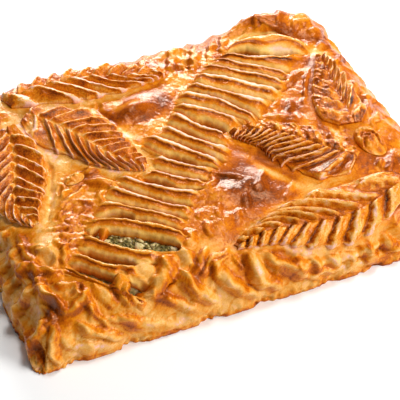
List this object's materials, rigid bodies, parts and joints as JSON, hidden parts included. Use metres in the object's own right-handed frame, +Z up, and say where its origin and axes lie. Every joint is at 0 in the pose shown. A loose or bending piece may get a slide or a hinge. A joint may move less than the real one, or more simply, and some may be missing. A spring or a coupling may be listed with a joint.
{
  "type": "chicken and potato pie",
  "caption": "Rectangular baked tray pie: glazed pastry crust with pleated sides, a diagonal band of slit strips over the filling, and scored pastry leaves on top.",
  "frame": {"origin": "centre of the flat underside", "axes": "+X along the long side, +Z up out of the crust; the slit band runs from the -X -Y corner to the +X +Y corner"},
  "size_m": [0.3027, 0.2326, 0.0418],
  "materials": {
    "crust": "egg-glazed baked dough, golden brown, paler in the slits and at the foot",
    "filling": "moist cooked potato and chicken with green herbs",
    "pastry_leaf": "egg-glazed pastry, brown ribs with lighter grooves",
    "pastry_knob": "egg-glazed pastry, deeper brown at the folds"
  },
  "bodies": {
    "root": {"crust": "crust", "filling": "filling", "leaf_left_inner": "pastry_leaf", "leaf_left_edge": "pastry_leaf", "leaf_back_edge": "pastry_leaf", "leaf_right_inner": "pastry_leaf", "leaf_right_edge": "pastry_leaf", "leaf_front_edge": "pastry_leaf", "bud_left": "pastry_knob", "bud_right": "pastry_knob", "curl_left": "pastry_knob"}
  },
  "joints": []
}
